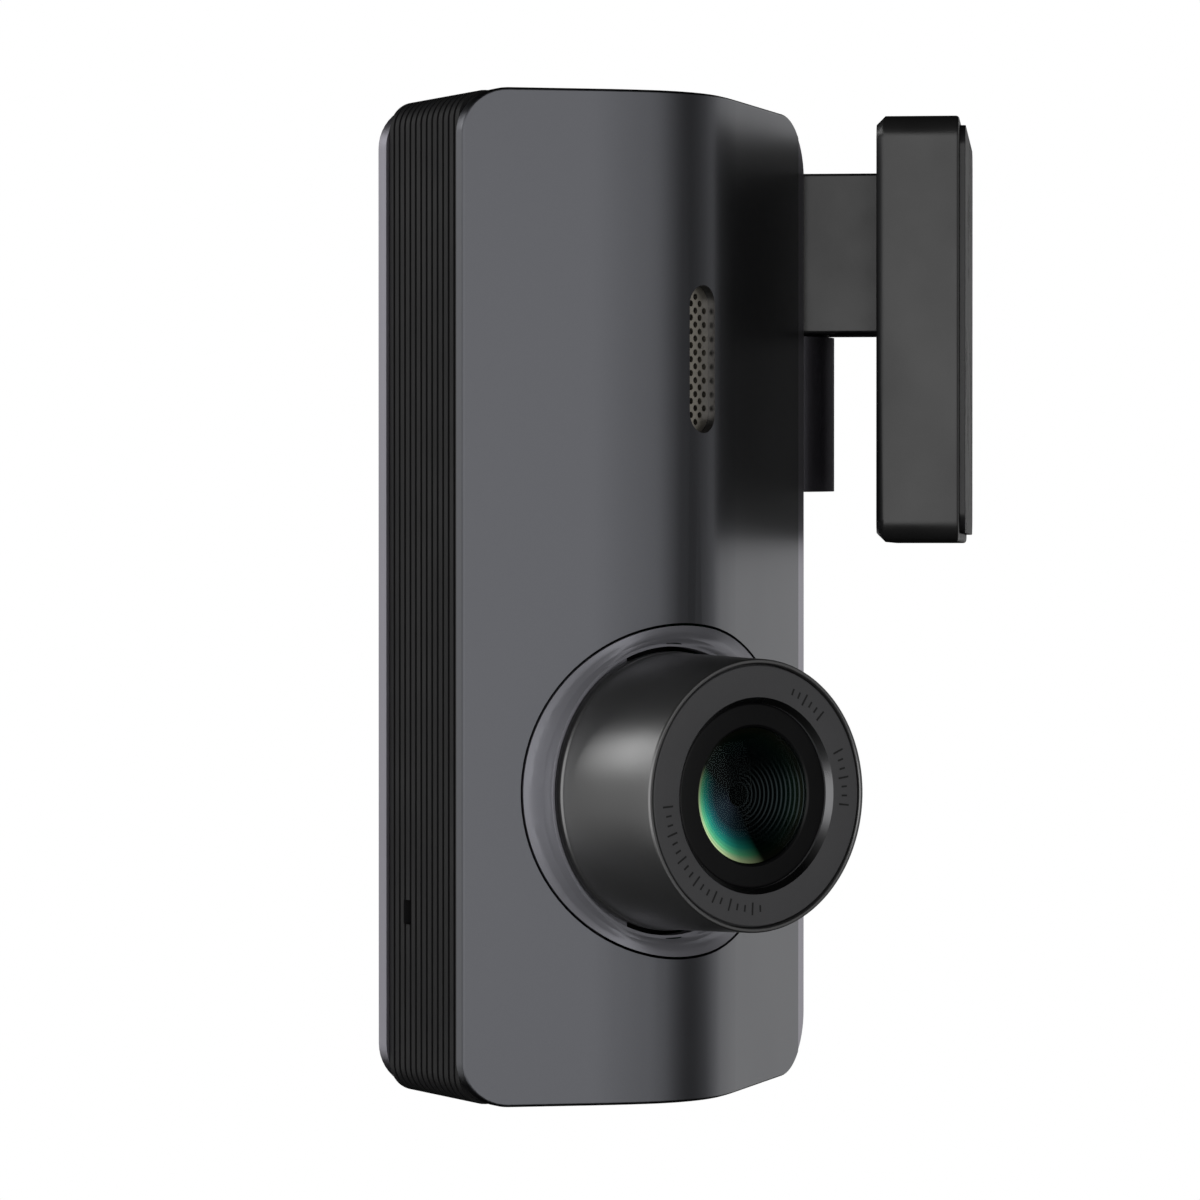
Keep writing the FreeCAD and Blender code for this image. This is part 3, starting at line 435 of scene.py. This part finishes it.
def lens_pieces():
    barrel = rounded([(11.4, 1.75), (12.05, 1.7), (12.08, 0.0), (12.15, -0.1), (12.42, -0.1), (12.5, 0.05),
                      (12.6, 3.0), (12.88, 12.4), (13.0, 12.6), (13.0, 13.2), (12.9, 13.4), (12.9, 13.85),
                      (11.4, 13.85), (11.4, 2.2)], 0.12)
    revolve("barrel_shell", barrel, barrel_metal, "barrel_metal", "lens_barrel")
    ring = rounded([(8.5, 1.6), (8.5, 0.5), (9.0, 0.02), (11.84, 0.0), (11.9, 0.1),
                    (11.9, 0.4), (12.0, 0.45), (12.0, 1.65), (8.9, 1.65)], 0.06)
    bevel = [(8.49, 0.49), (8.99, 0.0), (9.02, 0.1), (8.55, 0.56)]
    revolve("ring_bevel", bevel, polished_edge, "ring_black")
    revolve("ring_face", ring, ring_plastic, "ring_black", "lens_ring")
    # Stands over the rim of the skirt's collar, whose CAD shape has a small break at top and bottom
    rim = rounded([(13.46, 12.88), (13.7, 12.88), (13.74, 14.2), (13.46, 14.2)], 0.05)
    revolve("skirt_rim", rim, skirt_lit_lacquer, "cover_metallic")
    retainer = rounded([(6.3, 1.6), (6.3, 0.62), (6.5, 0.5), (8.3, 0.62), (8.48, 0.7), (8.48, 2.3),
                        (6.6, 2.3)], 0.05)
    revolve("black_retainer", retainer, lens_black, "lens_black", "lens_retainer")
    dome_r, sag, edge = 6.25, 1.0, 0.55
    ball = (dome_r ** 2 + sag ** 2) / (2 * sag)
    apex = edge - sag
    steps = 28
    dome = []
    for i in range(steps + 1):
        r = dome_r * i / steps
        dome.append((r, apex + ball - math.sqrt(ball ** 2 - r ** 2)))
    dome.append((dome_r, 1.5))
    revolve("front_glass", dome, front_glass, "lens_glass", "front_element", closed=False)
    # A stand-in for the second element: wider and nearer the front than the CAD's own
    bowl_r, bowl_rim, bowl_floor, pupil = 6.2, 0.85, 2.9, 1.05
    bowl = []
    for i in range(steps + 1):
        r = pupil + (bowl_r - pupil) * i / steps
        bowl.append((r, bowl_floor - (bowl_floor - bowl_rim) * (r / bowl_r) ** 2))
    # The bowl's material paints the coating's reflection as a faintly glowing green crescent
    revolve("painted_reflection_bowl", bowl, painted_coating_reflection(), "lens_glass", "second_element", closed=False)
    tunnel = [(8.35, 9.3), (8.35, 2.5), (6.1, 2.4), (5.9, 2.1)]
    r, depth, step_in, step_back = 5.6, 2.1, 0.34, 0.62
    while r > 2.3:
        tunnel += [(r, depth), (r - 0.06, depth + 0.42), (r - step_in, depth + 0.46)]
        r -= step_in
        depth += step_back
    tunnel += [(2.2, depth), (2.2, 11.0), (3.3, 17.9), (5.95, 17.9), (5.95, 9.35)]
    revolve("lens_tunnel", tunnel, tunnel_black, "lens_black", "lens_housing")


def ring_marks():
    """Generic engraved graduation on the ring: radial ticks in four short runs, no lettering."""
    groups = [(184, 246, 14), (252, 272, 5), (44, 66, 6), (-6, 22, 7)]
    long_tick, short_tick, half, middle_r, proud, sunk = 1.15, 0.62, 0.085, 10.3, 0.012, 0.05
    work = bmesh.new()
    for start, end, count in groups:
        for i in range(count):
            a = math.radians(start + (end - start) * i / (count - 1))
            length = long_tick if i % 3 == 0 else short_tick
            inner, outer = middle_r - length / 2, middle_r + length / 2
            radial = Vector((math.cos(a), math.sin(a), 0))
            side = Vector((-math.sin(a), math.cos(a), 0))
            corners = [radial * inner - side * half, radial * outer - side * half,
                       radial * outer + side * half, radial * inner + side * half]
            top = [work.verts.new(LENS @ ((c + Vector((0, 0, proud))) * MM)) for c in corners]
            low = [work.verts.new(LENS @ ((c - Vector((0, 0, sunk))) * MM)) for c in corners]
            work.faces.new(top)
            work.faces.new(low[::-1])
            for k in range(4):
                m = (k + 1) % 4
                work.faces.new([top[k], low[k], low[m], top[m]])
    bmesh.ops.recalc_face_normals(work, faces=work.faces)
    mesh = bpy.data.meshes.new("ring_marks")
    work.to_mesh(mesh)
    work.free()
    new_object("ring_marks", mesh, mark_ink, "head", "ring_black")


# Build

lens_pieces()
ring_marks()

BEVELLED = {"front_cover": 0.0, "mid_frame": 0.12, "rear_cover": 0.0, "bracket_body": 0.0,
            "adhesive_pad": 0.06, "hinge_cap": 0.1, "function_button": 0.0, "lens_skirt": 0.08,
            "speaker_grille": 0.0, "memory_card": 0.06, "usb_socket": 0.05, "case_screws": 0.04,
            "light_pipe": 0.05, "lug_plug": 0.1}
for node_name, object_ in frame["nodes"].items():
    if node_name in BEVELLED:
        # The skirt takes the lighter, painted-light copy of the cover lacquer
        finish = skirt_lit_lacquer if node_name == "lens_skirt" else BY_SLOT[slot_of(node_name)]
        dress(node_name, finish, BEVELLED[node_name])
    elif not object_.hide_render:
        object_.data.materials.clear()
        object_.data.materials.append(BY_SLOT[slot_of(node_name)])


# Stage, lights and camera

def stage():
    """A pale floor with no edge in view. It glows evenly and takes no shadow."""
    mesh = bpy.data.meshes.new("floor")
    side, drop = 30.0, 0.09
    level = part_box("front_cover")[0].z - drop
    mesh.from_pydata([(-side, -side, level), (side, -side, level), (side, side, level), (-side, side, level)],
                     [], [(0, 1, 2, 3)])
    floor = bpy.data.objects.new("floor", mesh)
    bpy.context.scene.collection.objects.link(floor)
    material, tree, output = node_tree("floor")
    glow = add(tree, "ShaderNodeEmission")
    glow.inputs["Color"].default_value = (1, 1, 1, 1)
    glow.inputs["Strength"].default_value = 1.0
    link(tree, glow.outputs[0], output.inputs["Surface"])
    mesh.materials.append(material)
    floor.visible_glossy = False
    floor.visible_diffuse = False
    floor.visible_shadow = False
    floor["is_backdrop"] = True


def softbox(name, angle, rise, distance, width, height, radiance):
    """An area light aimed at the object. angle is measured from +X towards +Y, rise above level."""
    a, e = math.radians(angle), math.radians(rise)
    direction = Vector((math.cos(a) * math.cos(e), math.sin(a) * math.cos(e), math.sin(e)))
    target = sum((Vector(c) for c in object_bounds()), Vector()) / 2
    light = bpy.data.lights.new(name, "AREA")
    light.shape = "RECTANGLE"
    light.size = width
    light.size_y = height
    light.energy = radiance * math.pi * width * height
    lamp = bpy.data.objects.new(name, light)
    lamp.location = target + direction * distance
    lamp.rotation_euler = direction.to_track_quat("Z", "Y").to_euler()
    bpy.context.scene.collection.objects.link(lamp)


def panel(name, start, end, radiance, height=0.95):
    """A tall soft panel that fills the view from one angle to another, level with the object."""
    distance = 1.2
    half = math.radians(end - start) / 2
    width = 2 * distance * math.tan(half)
    softbox(name, (start + end) / 2, 0, distance, width, height, radiance)


def world():
    sky = bpy.data.worlds.new("studio")
    bpy.context.scene.world = sky
    sky.use_nodes = True
    background = sky.node_tree.nodes["Background"]
    background.inputs["Color"].default_value = (1, 1, 1, 1)
    background.inputs["Strength"].default_value = 1.0
    sky.cycles_visibility.diffuse = False
    sky.cycles_visibility.glossy = False
    sky.cycles_visibility.transmission = False


def camera():
    data = bpy.data.cameras.new("camera")
    data.lens = 156.0
    data.sensor_width = 36.0
    data.clip_start = 0.01
    data.clip_end = 100.0
    eye = Vector((10.4, -521.9, -22.4)) * MM
    heading, pitch = math.radians(5.2), math.radians(-0.44)
    level = math.cos(pitch)
    look = Vector((-math.sin(heading) * level, math.cos(heading) * level, math.sin(pitch)))
    holder = bpy.data.objects.new("camera", data)
    holder.location = eye
    holder.rotation_euler = look.to_track_quat("-Z", "Y").to_euler()
    bpy.context.scene.collection.objects.link(holder)
    bpy.context.scene.camera = holder


stage()
world()
panel("left_wall", 178, 202, 0.45, 1.4)
panel("left_front_wall", -158, -105, 0.95, 1.4)
panel("front_key", -105, -59, 1.12)
panel("front_side", -59, -30, 0.68)
panel("front_fade", -30, -16, 0.32)
panel("right_glow", -16, 8, 0.09)
panel("right_fade", 8, 24, 0.20)
panel("right_rise", 24, 38, 0.42)
panel("back_right_wall", 38, 76, 0.62)
panel("left_side_wall", 99, 136, 0.40, 0.62)
panel("left_back_wall", 136, 158, 0.42)
softbox("left_strip", 165, 20, 1.2, 0.26, 0.40, 3.0)
softbox("left_glow", 157, 6, 1.25, 0.60, 0.95, 0.35)
camera()
bpy.context.scene.view_settings.view_transform = "Standard"
